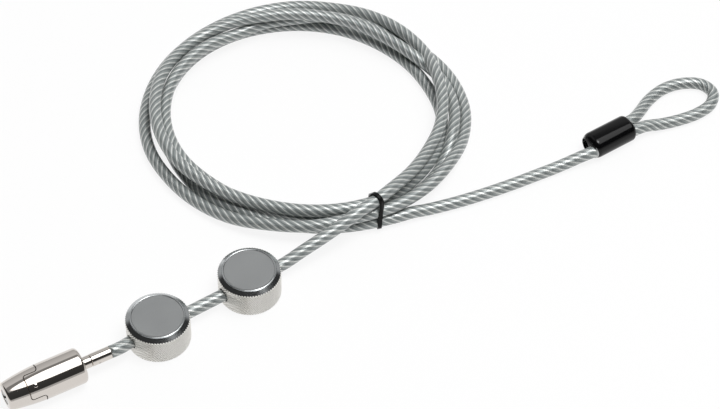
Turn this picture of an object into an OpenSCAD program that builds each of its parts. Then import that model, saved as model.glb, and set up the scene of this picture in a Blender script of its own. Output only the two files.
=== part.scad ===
// Laptop cable lock: lock head, swivel plug, two anchor pucks on the cable,
// a coiled cable held by a tie, and a crimped eye. Millimetres, +Z up.
// X runs along the cable from the lock head to the coil. The origin is the
// middle of the front puck's base, on the surface that everything lies on.

/* [Cable] */
// outside diameter of the covered cable
cable_d = 5.5; // [4.6:0.1:6.6]
// diameter of the bare wire rope inside the cover
rope_d = 4.0; // [3:0.1:4.4]
// mean radius of the coil
coil_r = 70; // [58:1:84]
// air between neighbouring strands of the coil
strand_gap = 0.45; // [0.42:0.01:0.8]

/* [Anchor pucks] */
// outside diameter of a puck
puck_d = 28.3; // [26:0.1:34]
// height of the knurled side
puck_side_h = 12.8; // [12:0.1:16]
// height of the polished bevel over the side
bevel_h = 1.3; // [0.8:0.1:2]
// width of the polished bevel, seen from above
bevel_w = 2.0; // [1.2:0.1:2.6]
// wall of the shell round its core
puck_wall = 2.2; // [1.6:0.1:3]
// metal over the core
puck_roof = 2.1; // [1.8:0.1:3]
// width of the ring between the bevel and the disc
ring_w = 0.9; // [0.6:0.1:1.6]
// thickness of the disc in the top
disc_t = 0.9; // [0.6:0.1:1.4]
// distance between the two pucks, middle to middle
puck_pitch = 47.3; // [44:0.1:60]
// height of the cable hole's middle
hole_z = 6.6; // [6:0.1:8]
// radial room round the cable in the shell's hole
hole_room = 0.65; // [0.6:0.05:1]
// thickness of the rubber foot
foot_t = 0.8; // [0.5:0.1:1]
// thickness of the base plate
base_t = 1.0; // [0.8:0.1:1.4]
// how far the shell's rim stays off the surface
rim_z = 0.3; // [0.2:0.1:0.5]
// shank diameter of a base screw
screw_d = 2.4; // [2:0.1:3]
// distance of the base screws from the puck's middle
screw_y = 7.5; // [7:0.1:8.5]

/* [Lock head] */
// outside diameter of the lock head
head_d = 16.3; // [15.4:0.1:20]
// length of the lock head
head_len = 36; // [34:0.5:44]
// length of the part that doesn't taper
straight_len = 16; // [12:0.5:18]
// diameter of the nose in front of its edge
nose_d = 12.8; // [12:0.1:15]
// rounding of the nose's edge
nose_round = 1.3; // [0.6:0.1:2]
// rounding of the rear edge
rear_round = 1.8; // [0.8:0.1:2.4]
// width of the body's two tongues
tongue_w = 11; // [9:0.5:12.5]
// where the tongues end, from the rear face
tongue_x = 27.7; // [26:0.1:29]
// where the nose's two ears end, from the rear face
ear_x = 18.9; // [17.5:0.1:21]
// width of the seam between body and nose
seam_w = 0.1; // [0.05:0.01:0.2]
// diameter of the cross pin
pin_d = 2.1; // [1.5:0.1:3]
// place of the cross pin, from the rear face
pin_x = 23.1; // [22:0.1:25]

/* [Lock works] */
// wall behind the lock chamber
rear_wall = 2.5; // [2:0.1:3]
// wall round the lock chamber
chamber_wall = 1.75; // [1.4:0.05:2.4]
// diameter of the key plug
plug_d = 8.0; // [7:0.1:9]
// diameter of the key plug's front
boss_d = 6.9; // [6:0.1:7.4]
// width of the keyway
keyway_w = 1.2; // [1:0.1:1.6]
// height of the keyway
keyway_h = 5.0; // [4:0.1:5.6]
// depth of the keyway
keyway_depth = 16; // [14:0.5:17]
// how many wafers
wafer_n = 5; // [3:1:5]
// diameter of the plug's stud
stud_d = 4.5; // [4:0.1:5]
// length of the stud inside the head
stud_len = 13.5; // [12:0.1:13.6]
// diameter of a latch ball
ball_d = 2.4; // [2:0.1:2.6]
// place of the latch balls, from the rear face
ball_x = 6.5; // [6.4:0.05:6.8]
// travel of a latch ball when the key turns
ball_travel = 0.85; // [0.6:0.05:1]
// running clearance of a shaft in its bore
fit = 0.05; // [0.02:0.01:0.09]

/* [Swivel and ferrule] */
// diameter of the swivel collar
collar_d = 5.6; // [5.2:0.1:6.2]
// length of the collar behind the head
collar_len = 4.0; // [3:0.1:6]
// diameter of the ferrule
ferrule_d = 5.8; // [5.6:0.1:7]
// length of the ferrule
ferrule_len = 9.5; // [9:0.1:14]
// diameter of the swivel's button
button_d = 4.2; // [3.8:0.1:4.4]

/* [Eye and its sleeve] */
// width of the sleeve, lying flat
sleeve_w = 13.3; // [12.8:0.1:16]
// height of the sleeve, lying flat
sleeve_h = 11.0; // [10.4:0.1:14]
// length of the sleeve
sleeve_len = 26; // [22:0.5:34]
// rounding of the sleeve's ends
sleeve_round = 1.6; // [0.8:0.1:2]
// wall of the black cover over the crimp
cover_t = 0.5; // [0.4:0.05:0.8]
// end wall of the black cover
cover_end = 1.2; // [0.8:0.1:2]

/* [Coil tie] */
// width of the tie
tie_w = 1.7; // [1.2:0.1:4]
// thickness of the tie
tie_t = 0.9; // [0.5:0.1:0.9]

/* [Hidden] */

$fn = 72;
eps = 0.01;
cable_r = cable_d / 2;

// ---- coil: four loops of 24 rings; lane is the offset from the mean radius,
// layer is the height in strands; two rows per loop, starting at the tie.
rings = 24;
lane = [2.5, -1.5, -3.5, -3, -2.5, -2, 0.5, 1.5, 3.5, 4.5, 5, 5,
        4.5, 4.5, 5, 5.5, 6, 6, 5, 4.5, 4.5, 4.5, 5.5, 5.5,
        7, 7.5, 8, 8.5, 8.5, 6.5, 3.5, -0.5, -3.5, -7, -9.5, -9.5,
        -9.5, -8, -6, -4.5, -4, -4, -4.5, -7, -8.5, -8, -5.5, -1.5,
        2.5, 3.5, 4, 3, 2.5, 0.5, -6, -9.5, -11, -12, -12, -10.5,
        -6, -1.5, 0, 0.5, 0.5, 0.5, 0, -2.5, -4.5, -4.5, -3, -1,
        0.5, -1, -2, -1.5, -3.5, -6, -7.5, -8.5, -9, -8.5, -8, -7,
        -5.5, -4, -3, -2.5, -3, -3, -2.5, -1.5, -2.5, -1, 1.5, 5,
        9];
layer = [2.25, 1.75, 1.35, 1.25, 1.35, 1.45, 1, 0.95, 0.55, 0.2, 0.1, 0,
         0, 0, 0, 0, 0.05, 0.1, 0.1, 0.1, 0.3, 0.7, 1, 1.2,
         1.15, 0.95, 0.85, 0.25, 0.05, 0.05, 0.05, 0, 0.5, 1, 1, 0.95,
         0.8, 1.1, 1.15, 1.05, 1, 1, 0.95, 0.45, 0.1, 0, 0.1, 0.2,
         0.2, 0, 0.05, 0.7, 0.5, 0.45, 1.1, 1.4, 1.65, 1.8, 1.95, 1.95,
         1.65, 1.2, 1.35, 1.65, 1.75, 1.8, 1.7, 1.35, 1.1, 1.1, 1.15, 1.2,
         1.15, 0.7, 0.25, 0, 0, 0, 0, 0, 0.05, 0, 0, 0,
         0, 0, 0, 0, 0, 0, 0, 0, 0.05, 0.05, 0.05, 0.2,
         0.2];
layer_h = cable_d + strand_gap;
coil_x = 125;
coil_y = coil_r + 6;
ring_step = 360 / rings;
arc_step = coil_r * ring_step * PI / 180;
coil_end = len(lane) - 1;

function coil_pt(k) = let(a = -90 + ring_step * k)
    [coil_x + (coil_r + lane[k]) * cos(a),
     coil_y + (coil_r + lane[k]) * sin(a),
     cable_r + layer[k] * layer_h];
function unit(v) = v / norm(v);
// direction of the strand where the coil starts and where it ends
coil_in = unit([1, -(lane[1] - lane[0]) / arc_step, 0]);
coil_out = unit([1, -(lane[coil_end] - lane[coil_end - 1]) / arc_step, 0]);
lead_end = coil_pt(0) - cable_d * coil_in;
tail_start = coil_pt(coil_end) + cable_d * coil_out;
coil_pts = concat([lead_end], [for (k = [0 : coil_end]) coil_pt(k)], [tail_start]);

// ---- lock head placement: +x is the nose, +z is the cross pin
head_at = [-38.3, -0.15, head_d / 2];
head_yaw = 4.5;
head_roll = 40;
module at_head() translate(head_at) rotate([0, 0, 180 - head_yaw]) rotate([-head_roll, 0, 0]) children();
function head_pt(x) = head_at + x * [-cos(head_yaw), sin(head_yaw), 0];
ferrule_x0 = -(collar_len + 2 * fit);
ferrule_x1 = ferrule_x0 - ferrule_len;

// ---- straight and free stretches of the cable
run_z = hole_z - 0.1;
tie_z = cable_r + layer[0] * layer_h;
// each point: x, y and the share of the climb from the pucks to the tie
lead_way = [[-6, 0, 0], [3, 0, 0], [14, 0, 0], [26, 0, 0], [38, 0, 0], [50, 0, 0], [61, 0, 0],
            [68, 0, 0.08], [75, 0, 0.25], [83, 0, 0.41], [90, 0.1, 0.55], [98, 0.3, 0.73],
            [105, 0.6, 0.93], [112, 1.1, 1]];
lead_pts = concat(
    [head_pt(ferrule_x1), head_pt(ferrule_x1 - 2.8), [-19.5, -1.3, 7.8], [-17, -0.8, 7.3],
     [-14.5, -0.35, 6.9], [-11, -0.1, 6.6]],
    [for (p = lead_way) [p[0], p[1], run_z + p[2] * (tie_z - run_z)]],
    [lead_end - cable_d * coil_in / 2, lead_end]);

sleeve_x = 225;
sleeve_y = -18.9;
sleeve_z = sleeve_h / 2;
leg_off = cable_d / 2 + 0.2;
leg_mid = sleeve_x + sleeve_len / 2;
// each point: x, y and how far the cable is off the surface
tail_way = [[140, -6.6, 0.4], [150, -9.2, 0.1], [160, -11.5, 0], [172, -13.8, 0], [184, -15.7, 0],
            [196, -17.2, 0], [206, -18.5, 0.1], [213, -19.5, 0.7], [219, -20.7, 1.9]];
tail_pts = concat([tail_start, tail_start + cable_d / 2 * coil_out],
    [for (p = tail_way) [p[0], p[1], cable_r + p[2]]],
    [[sleeve_x, sleeve_y - leg_off, sleeve_z], [leg_mid, sleeve_y - leg_off, sleeve_z]]);
eye_x = sleeve_x + sleeve_len;
// each point: how far past the sleeve, y and height over the surface
eye_way = [[7, -22.2, 1.9], [15, -24.2, 0.4], [25, -26.8, 0], [35.5, -28.2, 0], [44, -26.6, 0],
           [49.4, -21.4, 0], [48.4, -14.2, 0], [41.5, -8.4, 0], [31, -6.3, 0], [20, -8.5, 0.2],
           [11, -12.8, 1.4], [5, -15.4, 2.5]];
eye_pts = concat([[leg_mid, sleeve_y - leg_off, sleeve_z], [eye_x, sleeve_y - leg_off, sleeve_z]],
    [for (p = eye_way) [eye_x + p[0], p[1], cable_r + p[2]]],
    [[eye_x, sleeve_y + leg_off, sleeve_z], [sleeve_x + 3, sleeve_y + leg_off, sleeve_z]]);

function bend(p, i) = unit(p[min(i + 1, len(p) - 1)] - p[max(i - 1, 0)]);
function ring(c, t, r, n) = let(a = unit(cross([0, 0, 1], t)), b = cross(t, a))
    [for (k = [0 : n - 1]) c + r * (cos(90 + 360 * k / n) * a + sin(90 + 360 * k / n) * b)];
module tube(p, r, n) {
    m = len(p);
    pts = [for (i = [0 : m - 1]) each ring(p[i], bend(p, i), r, n)];
    side = [for (i = [0 : m - 2], k = [0 : n - 1]) let(q = (k + 1) % n)
        each [[i * n + k, (i + 1) * n + k, (i + 1) * n + q], [i * n + k, (i + 1) * n + q, i * n + q]]];
    start = [for (k = [1 : n - 2]) [0, k, k + 1]];
    finish = [for (k = [1 : n - 2]) [(m - 1) * n, (m - 1) * n + k + 1, (m - 1) * n + k]];
    polyhedron(points = pts, faces = concat(side, start, finish), convexity = 10);
}

// the least air between any two strands, measured from points to chords
function to_chord(p, a, b) = let(d = b - a, u = max(0, min(1, (p - a) * d / (d * d)))) norm(p - a - u * d);
strand_clear = min([for (i = [0 : coil_end + 2], j = [0 : coil_end + 1])
    if (abs(i - j - 0.5) > 4) to_chord(coil_pts[i], coil_pts[j], coil_pts[j + 1])]) - cable_d;
echo(least_gap_in_coil_mm = strand_clear);
function way(p, i = 0) = i >= len(p) - 1 ? 0 : norm(p[i + 1] - p[i]) + way(p, i + 1);
echo(cable_length_mm = way(lead_pts) + way(coil_pts) + way(tail_pts) + way(eye_pts));

// ================= pucks =================
puck_r = puck_d / 2;
puck_h = puck_side_h + bevel_h;
disc_r = puck_r - bevel_w - ring_w;
core_r = puck_r - puck_wall;
core_z0 = foot_t + base_t;
core_z1 = puck_h - disc_t - fit - puck_roof;
hole_r = cable_r + hole_room;

module cable_hole(r, w) translate([0, 0, hole_z]) rotate([0, 90, 0]) cylinder(r = r, h = w, center = true);
module at_rear() translate([puck_pitch, 0, 0]) children();
module screw_places() for (s = [-1, 1]) translate([0, s * screw_y, 0]) children();

module puck_shell() difference() {
    rotate_extrude() polygon([[core_r, rim_z], [puck_r - 0.3, rim_z], [puck_r, rim_z + 0.3],
        [puck_r, puck_side_h], [puck_r - bevel_w, puck_h - 0.1], [puck_r - bevel_w - 0.2, puck_h],
        [disc_r + fit, puck_h], [disc_r + fit, puck_h - disc_t - fit], [0, puck_h - disc_t - fit],
        [0, core_z1], [core_r, core_z1]]);
    cable_hole(hole_r, puck_d + 2);
}
module puck_disc() translate([0, 0, puck_h - disc_t - fit / 2])
    rotate_extrude() polygon([[0, 0], [disc_r, 0], [disc_r, disc_t - 0.15], [disc_r - 0.15, disc_t - 0.05],
        [0, disc_t - 0.05]]);
module puck_core() difference() {
    translate([0, 0, core_z0]) cylinder(r = core_r - fit, h = core_z1 - fit - core_z0);
    cable_hole(hole_r - 0.1, puck_d);
    screw_places() translate([0, 0, core_z0 - eps]) cylinder(d = screw_d + 2 * fit, h = 4.4);
}
module puck_base() difference() {
    translate([0, 0, foot_t]) cylinder(r = core_r - fit, h = base_t);
    screw_places() translate([0, 0, foot_t - eps])
        cylinder(r1 = screw_d + fit, r2 = screw_d / 2 + fit, h = base_t + 2 * eps);
}
module puck_foot() cylinder(r = core_r - 0.3, h = foot_t);
module puck_screws() screw_places() {
    translate([0, 0, foot_t]) cylinder(r1 = screw_d, r2 = screw_d / 2, h = base_t);
    translate([0, 0, foot_t + base_t - eps]) cylinder(d = screw_d, h = 4);
}

// ================= lock head =================
head_r = head_d / 2;
nose_r = nose_d / 2;
taper_end = head_len - nose_round;
drop = head_r - nose_r;
run = taper_end - straight_len;
ogive_r = (run * run + drop * drop) / (2 * drop);
chamber_r = head_r - chamber_wall;
plug_r = plug_d / 2;
boss_r = boss_d / 2;
barrel_front_r = nose_r - 1.2;
barrel_x0 = 15.6;
plug_x1 = head_len - 5;
corner_r = 1.5;
tip_r = 1.2;

function arc(cx, cy, r, a0, a1, n) = [for (k = [0 : n]) let(a = a0 + (a1 - a0) * k / n) [cx + r * cos(a), cy + r * sin(a)]];
// outline from the rear face to the nose, as radius and length
outline = concat([[0, 0]],
    arc(head_r - rear_round, rear_round, rear_round, -90, 0, 6),
    [for (k = [0 : 12]) let(x = run * k / 12)
        [head_r - ogive_r + sqrt(ogive_r * ogive_r - x * x), straight_len + x]],
    arc(nose_r - nose_round, taper_end, nose_round, 15, 90, 5),
    [[0, head_len]]);
module head_outer() rotate([0, 90, 0]) rotate_extrude() polygon(outline);
module bar_x(r, x0, x1) translate([x0, 0, 0]) rotate([0, 90, 0]) cylinder(r = r, h = x1 - x0);
module turned(p) rotate([0, 90, 0]) rotate_extrude() polygon(p);

// the seam seen along the cross pin; g moves it to the nose side
function seam(g) = let(a = ear_x + g, b = tongue_w / 2 + g, c = tongue_x + g) concat(
    [[a, -head_d]],
    arc(a + corner_r, -b - corner_r, corner_r, 180, 90, 5),
    arc(c - tip_r, -b + tip_r, tip_r, -90, 0, 5),
    arc(c - tip_r, b - tip_r, tip_r, 0, 90, 5),
    arc(a + corner_r, b + corner_r, corner_r, 270, 180, 5),
    [[a, head_d]]);
pin_floor = plug_r + 0.5;
module pin_hole(room) translate([pin_x, 0, pin_floor]) cylinder(r = pin_d / 2 + room, h = head_d);

module head_body() difference() {
    intersection() {
        head_outer();
        linear_extrude(2 * head_d, center = true)
            polygon(concat([[-1, -head_d]], seam(0), [[-1, head_d]]));
    }
    bar_x(chamber_r, rear_wall, head_len);
    bar_x(collar_d / 2 + fit, -1, rear_wall + 1);
    pin_hole(0.02);
}
module head_nose() difference() {
    intersection() {
        head_outer();
        linear_extrude(2 * head_d, center = true)
            polygon(concat(seam(seam_w), [[head_len + 1, head_d], [head_len + 1, -head_d]]));
    }
    bar_x(chamber_r, rear_wall, tongue_x + seam_w);
    bar_x(barrel_front_r + fit, rear_wall, plug_x1 + fit);
    bar_x(boss_r + fit, rear_wall, head_len + 1);
}
// a ball lies outside the stud at rest and drops into the groove by its travel
ball_rest = stud_d / 2 + ball_d / 2 + 0.15;
bush_r = stud_d / 2 + 1.6;
bush_x1 = ball_x + 1.9;
groove_r = ball_rest - ball_travel - ball_d / 2 - 0.05;
module rear_bush() difference() {
    turned([[stud_d / 2 + fit, rear_wall], [chamber_r - fit, rear_wall], [chamber_r - fit, rear_wall + 1.7],
        [bush_r, rear_wall + 1.7], [bush_r, bush_x1], [stud_d / 2 + fit, bush_x1]]);
    translate([ball_x, 0, 0]) rotate([90, 0, 0]) cylinder(d = ball_d + 2 * 0.02, h = head_d, center = true);
}
module latch_ball(s) translate([ball_x, s * ball_rest, 0]) sphere(d = ball_d, $fn = 24);

cam_out = chamber_r - 0.15;
cam_wave = ball_travel / 2 + 0.025;
cam_mid = ball_rest + ball_d / 2 + 0.25 - cam_wave;
cam_x0 = rear_wall + 1.9;
cam_x1 = bush_x1 + 0.2;
module lock_cam() {
    difference() {
        bar_x(cam_out, cam_x0, cam_x1 + 1.9);
        translate([cam_x0 - 1, 0, 0]) rotate([0, 90, 0]) linear_extrude(cam_x1 - cam_x0 + 1)
            polygon([for (k = [0 : 47]) let(a = k * 7.5, r = cam_mid - cam_wave * cos(2 * a)) [r * cos(a), r * sin(a)]]);
        bar_x(stud_d / 2 + 0.35, cam_x0, head_len);
    }
    difference() {
        bar_x(plug_r - 0.4, cam_x1 + 1.8, barrel_x0 - 0.1);
        bar_x(stud_d / 2 + 0.35, cam_x0, stud_len + 0.5);
    }
    translate([barrel_x0 - 0.2, -(keyway_h - 0.2) / 2, -0.75]) cube([1.5, keyway_h - 0.2, 1.5]);
}
module lock_barrel() difference() {
    union() {
        bar_x(chamber_r - fit, barrel_x0, tongue_x - fit);
        bar_x(barrel_front_r, tongue_x - 1, plug_x1);
    }
    bar_x(plug_r + fit, barrel_x0 - 1, plug_x1 + 1);
    pin_hole(0.02);
}
wafer_t = 0.7;
wafer_w = 3.0;
wafer_h = 2 * sqrt(pow(plug_r - 0.06, 2) - pow(wafer_w / 2, 2));
wafer_x0 = head_len - 15.1;
module wafer_places() for (i = [0 : wafer_n - 1]) translate([wafer_x0 + 2 * i, 0, 0]) children();
module key_plug() difference() {
    union() {
        bar_x(plug_r, barrel_x0, plug_x1);
        bar_x(boss_r, plug_x1 - 1, head_len - 0.2);
    }
    translate([head_len - 0.2 - keyway_depth, -keyway_w / 2, -keyway_h / 2]) cube([keyway_depth + 1, keyway_w, keyway_h]);
    wafer_places() translate([0, -wafer_w / 2 - fit, -plug_d]) cube([wafer_t + 2 * fit, wafer_w + 2 * fit, 2 * plug_d]);
    translate([barrel_x0 - 1, -(keyway_h - 0.1) / 2, -0.8]) cube([2.4, keyway_h - 0.1, 1.6]);
}
module wafers() wafer_places() translate([fit, 0, 0]) difference() {
    translate([0, -wafer_w / 2, -wafer_h / 2]) cube([wafer_t, wafer_w, wafer_h]);
    translate([-1, -keyway_w / 2 - 0.05, -keyway_h / 2 - 0.05]) cube([3, keyway_w + 0.1, keyway_h + 0.1]);
}
pin_top = head_r - ogive_r + sqrt(ogive_r * ogive_r - pow(pin_x - straight_len, 2));
module cross_pin() translate([pin_x, 0, pin_floor]) cylinder(d = pin_d, h = pin_top - pin_floor - 0.05);

// ================= swivel plug and ferrule =================
collar_r = collar_d / 2;
spigot_r = 1.5;
button_x0 = ferrule_x0 - 3.9;
button_x1 = button_x0 - 1.4;
socket_x1 = button_x1 - 0.2;
module plug_pin() turned([[0, button_x1], [button_d / 2, button_x1], [button_d / 2, button_x0],
    [spigot_r, button_x0], [spigot_r, -collar_len], [collar_r - 0.2, -collar_len], [collar_r, -collar_len + 0.2],
    [collar_r, rear_wall - 0.1], [stud_d / 2, rear_wall - 0.1],
    [stud_d / 2, ball_x - ball_d / 2], [groove_r, ball_x - ball_d / 2],
    [groove_r, ball_x + ball_d / 2], [stud_d / 2, ball_x + ball_d / 2],
    [stud_d / 2, stud_len - 0.7], [stud_d / 2 - 0.7, stud_len], [0, stud_len]]);
module ferrule() difference() {
    turned([[0, ferrule_x1], [ferrule_d / 2 - 0.3, ferrule_x1], [ferrule_d / 2, ferrule_x1 + 0.3],
        [ferrule_d / 2, ferrule_x0 - 0.25], [ferrule_d / 2 - 0.25, ferrule_x0], [0, ferrule_x0]]);
    bar_x(button_d / 2 + 0.25, socket_x1, ferrule_x0 + 1);
    bar_x(rope_d / 2 + fit, ferrule_x1 - 1, socket_x1 + 1);
    rotate([-55, 0, 0]) translate([ferrule_x0 - 3.3, 0, ferrule_d / 2 + 0.35]) sphere(r = 0.7, $fn = 24);
}
module swivel_ring() turned([[spigot_r + fit, ferrule_x0 - 3.8], [button_d / 2 + 0.2, ferrule_x0 - 3.8],
    [button_d / 2 + 0.2, ferrule_x0 - 0.5], [spigot_r + fit, ferrule_x0 - 0.5]]);
module rope_stub() bar_x(rope_d / 2, ferrule_x1, socket_x1 - 0.3);

// ================= eye crimp and sleeve =================
module oval(w, h, x0, x1, e) {
    half = (w - h) / 2;
    edge = concat([[0, x0]], arc(h / 2 - e, x0 + e, e, -90, 0, 6), arc(h / 2 - e, x1 - e, e, 0, 90, 6), [[0, x1]]);
    for (s = [-1, 1]) translate([0, s * half, 0]) rotate([0, 90, 0]) rotate_extrude() polygon(edge);
    rotate([90, 0, 0]) linear_extrude(2 * half, center = true) polygon(concat(
        arc(x0 + e, -h / 2 + e, e, 180, 270, 6), arc(x1 - e, -h / 2 + e, e, 270, 360, 6),
        arc(x1 - e, h / 2 - e, e, 0, 90, 6), arc(x0 + e, h / 2 - e, e, 90, 180, 6)));
}
module at_sleeve() translate([sleeve_x, sleeve_y, sleeve_z]) children();
module legs(room) for (s = [-1, 1]) translate([0, s * leg_off, 0]) bar_x(cable_r + room, -1, sleeve_len + 1);
module eye_crimp() at_sleeve() difference() {
    oval(sleeve_w - 2 * cover_t - 2 * fit, sleeve_h - 2 * cover_t - 2 * fit, cover_end + fit, sleeve_len - cover_end - fit, 0.6);
    legs(fit);
}
module eye_sleeve() at_sleeve() difference() {
    oval(sleeve_w, sleeve_h, 0, sleeve_len, sleeve_round);
    oval(sleeve_w - 2 * cover_t, sleeve_h - 2 * cover_t, cover_end, sleeve_len - cover_end, 0.6);
    legs(fit);
}

// ================= coil tie =================
tie_room = 0.2;
tie_turn = 16;
tie_at = [117.4, 1.5, 0];
tie_n = [cos(tie_turn), -sin(tie_turn), 0];
// the chords of the five held strands, and where each meets the tie's plane
held = concat([[lead_end, coil_pt(0)]], [for (i = [1 : coil_end / rings]) [coil_pt(i * rings - 1), coil_pt(i * rings)]]);
function crossing(c) = c[0] + (c[1] - c[0]) * ((tie_at - c[0]) * tie_n) / ((c[1] - c[0]) * tie_n);
module round_held(r, w) hull() for (c = held) let(d = unit(c[1] - c[0]))
    translate(crossing(c)) rotate([0, acos(d[2]), atan2(d[1], d[0])]) cylinder(r = r, h = w, center = true, $fn = 32);
module coil_tie() difference() {
    round_held(cable_r + tie_room + tie_t, tie_w);
    round_held(cable_r + tie_room, 4 * tie_w);
}

color("silver") at_head() head_body();
color("lightgrey") at_head() head_nose();
color("goldenrod") at_head() rear_bush();
color("peru") at_head() lock_cam();
color("khaki") at_head() lock_barrel();
color("slategrey") at_head() key_plug();
color("gold") at_head() wafers();
color("white") at_head() cross_pin();
color("white") at_head() latch_ball(1);  // latch_ball_near
color("white") at_head() latch_ball(-1);  // latch_ball_far
color("lightsteelblue") at_head() plug_pin();
color("gainsboro") at_head() ferrule();
color("orange") at_head() swivel_ring();
color("grey") at_head() rope_stub();
color("darkgrey") tube(lead_pts, cable_r, 10);  // cable_lead
color("grey") tube(coil_pts, cable_r, 6);  // cable_coil
color("darkgrey") tube(tail_pts, cable_r, 10);  // cable_tail
color("dimgrey") tube(eye_pts, cable_r, 10);  // cable_eye
color("black") coil_tie();
color("silver") eye_crimp();
color("black") eye_sleeve();
color("lightgrey") puck_shell();  // front_shell
color("grey") puck_disc();  // front_disc
color("dimgrey") puck_core();  // front_core
color("silver") puck_base();  // front_base
color("black") puck_foot();  // front_foot
color("gold") puck_screws();  // front_screws
color("lightgrey") at_rear() puck_shell();  // rear_shell
color("grey") at_rear() puck_disc();  // rear_disc
color("dimgrey") at_rear() puck_core();  // rear_core
color("silver") at_rear() puck_base();  // rear_base
color("black") at_rear() puck_foot();  // rear_foot
color("gold") at_rear() puck_screws();  // rear_screws
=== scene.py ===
import math

import bmesh
import bpy
from mathutils import Matrix, Quaternion, Vector


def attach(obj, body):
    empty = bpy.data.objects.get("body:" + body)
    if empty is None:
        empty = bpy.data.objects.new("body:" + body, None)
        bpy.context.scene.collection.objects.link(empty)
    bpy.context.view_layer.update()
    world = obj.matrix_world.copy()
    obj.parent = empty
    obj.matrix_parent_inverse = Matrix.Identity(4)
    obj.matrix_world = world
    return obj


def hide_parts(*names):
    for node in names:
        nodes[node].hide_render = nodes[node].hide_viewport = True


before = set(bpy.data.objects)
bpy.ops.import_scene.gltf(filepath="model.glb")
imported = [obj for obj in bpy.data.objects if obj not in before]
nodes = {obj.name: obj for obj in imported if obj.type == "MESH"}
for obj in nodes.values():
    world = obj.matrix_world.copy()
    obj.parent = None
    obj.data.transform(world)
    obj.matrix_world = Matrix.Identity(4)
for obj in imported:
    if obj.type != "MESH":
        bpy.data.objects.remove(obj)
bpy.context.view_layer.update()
bpy.ops.object.select_all(action="DESELECT")

# ---------------------------------------------------------------- camera
# A long lens on a tripod, a little under a metre away and looking down at 49 degrees, so the lock shows
# almost without perspective.
bpy.ops.object.camera_add(location=(-0.2514, -0.5106, 0.7403))
camera = bpy.context.object
camera.name = "studio_camera"
aim = Vector((0.1175, 0.0153, 0.0)) - camera.location
camera.rotation_mode = "QUATERNION"
roll = math.radians(1.3)
camera.rotation_quaternion = aim.to_track_quat("-Z", "Y") @ Quaternion((0, 0, 1), roll)
camera.data.sensor_width = 36.0
camera.data.lens = 104.9
camera.data.clip_start = 0.05
camera.data.clip_end = 20.0
bpy.context.scene.camera = camera
bpy.context.scene.view_settings.view_transform = "Standard"

# ---------------------------------------------------------------- cable
# One length of galvanised wire rope, six strands laid right-handed round a core, inside an extruded
# clear PVC cover. It is crimped into the ferrule, runs through both pucks, is wound into four loops,
# and comes back on itself at the far end as an eye.
mm = 0.001
cable_d = 5.5
coil_mid = (125, 76)
coil_r = 70
strand_step = 5.95
lane = [2.5, -1.5, -3.5, -3, -2.5, -2, 0.5, 1.5, 3.5, 4.5, 5, 5,
        4.5, 4.5, 5, 5.5, 6, 6, 5, 4.5, 4.5, 4.5, 5.5, 5.5,
        7, 7.5, 8, 8.5, 8.5, 6.5, 3.5, -0.5, -3.5, -7, -9.5, -9.5,
        -9.5, -8, -6, -4.5, -4, -4, -4.5, -7, -8.5, -8, -5.5, -1.5,
        2.5, 3.6, 3.9, 3.4, 3, 0.8, -6, -9.5, -11, -12, -12, -10.5,
        -6, -1.5, 0, 0.5, 0.5, 0.5, 0, -2.5, -4.5, -4.5, -3, -1,
        0.5, -1.2, -1.75, -1.5, -3.5, -6, -7.5, -8.5, -9, -8.5, -8, -7,
        -5.5, -4, -3, -2.5, -3, -3, -2.5, -1.5, -2.5, -1, 1.5, 5,
        9]
layer = [2.25, 1.75, 1.35, 1.25, 1.35, 1.45, 1, 0.95, 0.55, 0.2, 0.1, 0,
         0, 0, 0, 0, 0.05, 0.1, 0.1, 0.1, 0.3, 0.7, 1, 1.2,
         1.15, 0.95, 0.85, 0.25, 0.05, 0.05, 0.05, 0, 0.5, 1, 1, 0.95,
         0.8, 1.1, 1.15, 1.05, 1, 1, 0.95, 0.45, 0.1, 0, 0.1, 0.2,
         0.2, 0, 0.05, 0.7, 0.5, 0.45, 1.1, 1.4, 1.65, 1.8, 1.95, 1.95,
         1.65, 1.2, 1.35, 1.65, 1.75, 1.8, 1.7, 1.35, 1.1, 1.1, 1.15, 1.2,
         1.15, 0.55, 0.25, 0, 0, 0, 0, 0, 0.05, 0, 0, 0,
         0, 0, 0, 0, 0, 0, 0, 0, 0.05, 0.05, 0.05, 0.2,
         0.2]


def coil_point(k):
    turn = math.radians(-90 + 15 * k)
    reach = coil_r + lane[k]
    return Vector((coil_mid[0] + reach * math.cos(turn), coil_mid[1] + reach * math.sin(turn),
                   cable_d / 2 + layer[k] * strand_step))


ring_arc = coil_r * math.radians(15)
into_coil = Vector((1, -(lane[1] - lane[0]) / ring_arc, 0)).normalized()
out_of_coil = Vector((1, -(lane[96] - lane[95]) / ring_arc, 0)).normalized()
lead_end = coil_point(0) - cable_d * into_coil
tail_start = coil_point(96) + cable_d * out_of_coil
head_at = Vector((-38.3, -0.15, 8.15))
head_yaw = math.radians(4.5)


def head_point(x):
    return head_at + x * Vector((-math.cos(head_yaw), math.sin(head_yaw), 0))


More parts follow.
